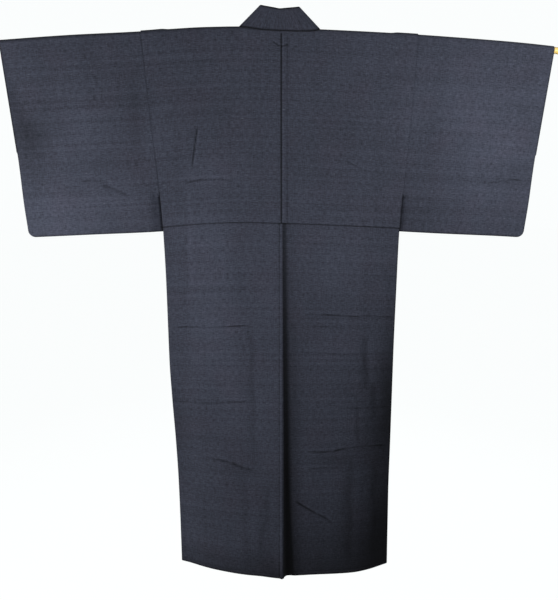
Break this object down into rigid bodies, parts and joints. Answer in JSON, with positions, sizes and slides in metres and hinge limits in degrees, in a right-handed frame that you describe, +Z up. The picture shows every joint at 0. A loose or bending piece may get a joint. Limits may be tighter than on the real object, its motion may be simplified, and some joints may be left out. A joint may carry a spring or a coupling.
{
  "type": "kimono on a hanging rod",
  "caption": "Long plain wrap garment with wide square sleeves and a folded collar band, hung flat on a rod that runs through both sleeves.",
  "frame": {"origin": "on the rod's axis at the middle of its length, under the middle of the back neck", "axes": "+Z is up, the garment's back faces -Y, and +X points to the wearer's right"},
  "size_m": [1.4493, 0.091, 1.5278],
  "materials": {
    "cloth": "matt dark blue-black plain weave with small slubs",
    "rod_wood": "pale yellow plain wood with a low sheen"
  },
  "bodies": {
    "root": {"body_left": "cloth", "body_right": "cloth", "okumi_left": "cloth", "okumi_right": "cloth", "sleeve_left": "cloth", "sleeve_right": "cloth", "collar": "cloth", "over_collar": "cloth", "rod": "rod_wood"}
  },
  "joints": []
}
